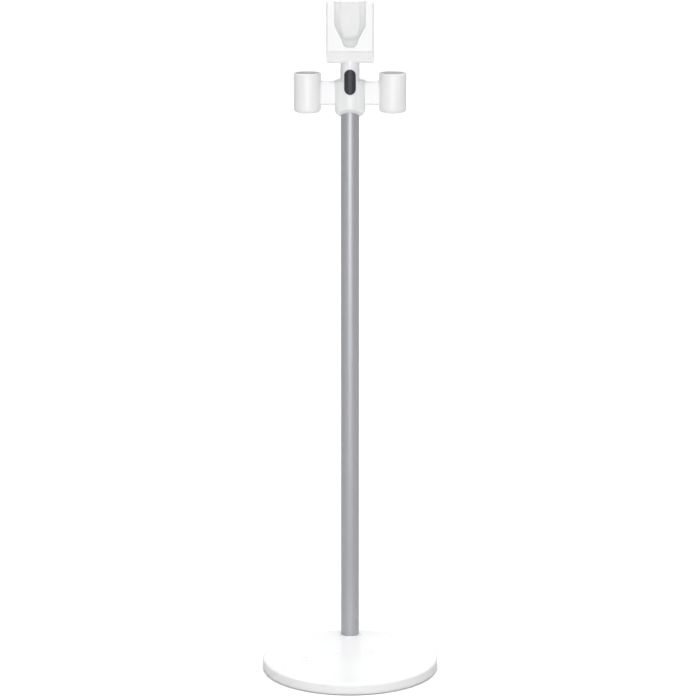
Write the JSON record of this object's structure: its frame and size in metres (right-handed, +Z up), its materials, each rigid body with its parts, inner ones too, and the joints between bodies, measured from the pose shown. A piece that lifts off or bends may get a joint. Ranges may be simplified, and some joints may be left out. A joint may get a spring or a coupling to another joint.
{
  "type": "floor stand for a cordless stick vacuum cleaner",
  "caption": "Free-standing floor stand for a cordless stick vacuum: weighted round base, upright tube, slotted dock plate, tool cups and a sprung release button.",
  "frame": {"origin": "centre of the round base, on the floor that the rubber feet stand on", "axes": "+Z up along the tube; -Y is the front, the side that the dock plate and the button face; +X to the right seen from the front"},
  "size_m": [0.27, 0.27, 1.0235],
  "materials": {
    "white_gloss": "gloss moulded",
    "white_satin": "satin moulded",
    "tube_aluminium": "satin anodised, drawn along its length",
    "button_grey": "fine matt texture",
    "structural_nylon": "glass-filled, matt",
    "foot_rubber": "matt",
    "ballast_iron": "black dip coat",
    "cast_socket": "as cast, machined seats",
    "fixing_steel": "zinc plated",
    "cup_pad": "soft, matt"
  },
  "bodies": {
    "stand": {"base_cover": "white_gloss", "base_pan": "white_satin", "base_weight": "ballast_iron", "rubber_feet": "foot_rubber", "pan_screws": "fixing_steel", "tube_socket": "cast_socket", "socket_screws": "fixing_steel", "tube_bolt": "fixing_steel", "bolt_washer": "fixing_steel", "tube_foot_insert": "cast_socket", "tube": "tube_aluminium", "tube_trim_ring": "white_gloss", "tube_top_insert": "structural_nylon", "plunger_spring": "fixing_steel", "button_spring": "fixing_steel", "button_bezel": "white_gloss", "hub_core": "structural_nylon", "hub_front_shell": "white_gloss", "hub_rear_shell": "white_gloss", "hub_screws": "fixing_steel", "right_tool_holder": "white_gloss", "left_tool_holder": "white_gloss", "right_cup_pad": "cup_pad", "left_cup_pad": "cup_pad", "holder_screws": "fixing_steel", "holder_screw_caps": "white_gloss", "dock_front_cover": "white_gloss", "dock_lower_trim": "white_gloss", "dock_rail": "white_satin", "dock_rear_housing": "white_gloss", "dock_screws": "fixing_steel", "spine_screws": "fixing_steel"},
    "button": {"release_button": "button_grey"},
    "plunger": {"lock_plunger": "fixing_steel"}
  },
  "joints": [
    {"name": "button_press", "type": "slide", "parent": "stand", "child": "button", "axis": [0, 1, 0], "range_m": [0, 0.004], "stiffness_N_per_m": 300, "springref_m": -0.004, "deforming": ["button_spring"]},
    {"name": "plunger_slide", "type": "slide", "parent": "stand", "child": "plunger", "axis": [0, 1, 0], "range_m": [0, 0.004], "stiffness_N_per_m": 600, "springref_m": -0.005, "deforming": ["plunger_spring"]}
  ],
  "couplings": [
    {"joint": "plunger_slide", "follows": "button_press", "ratio": 1}
  ]
}
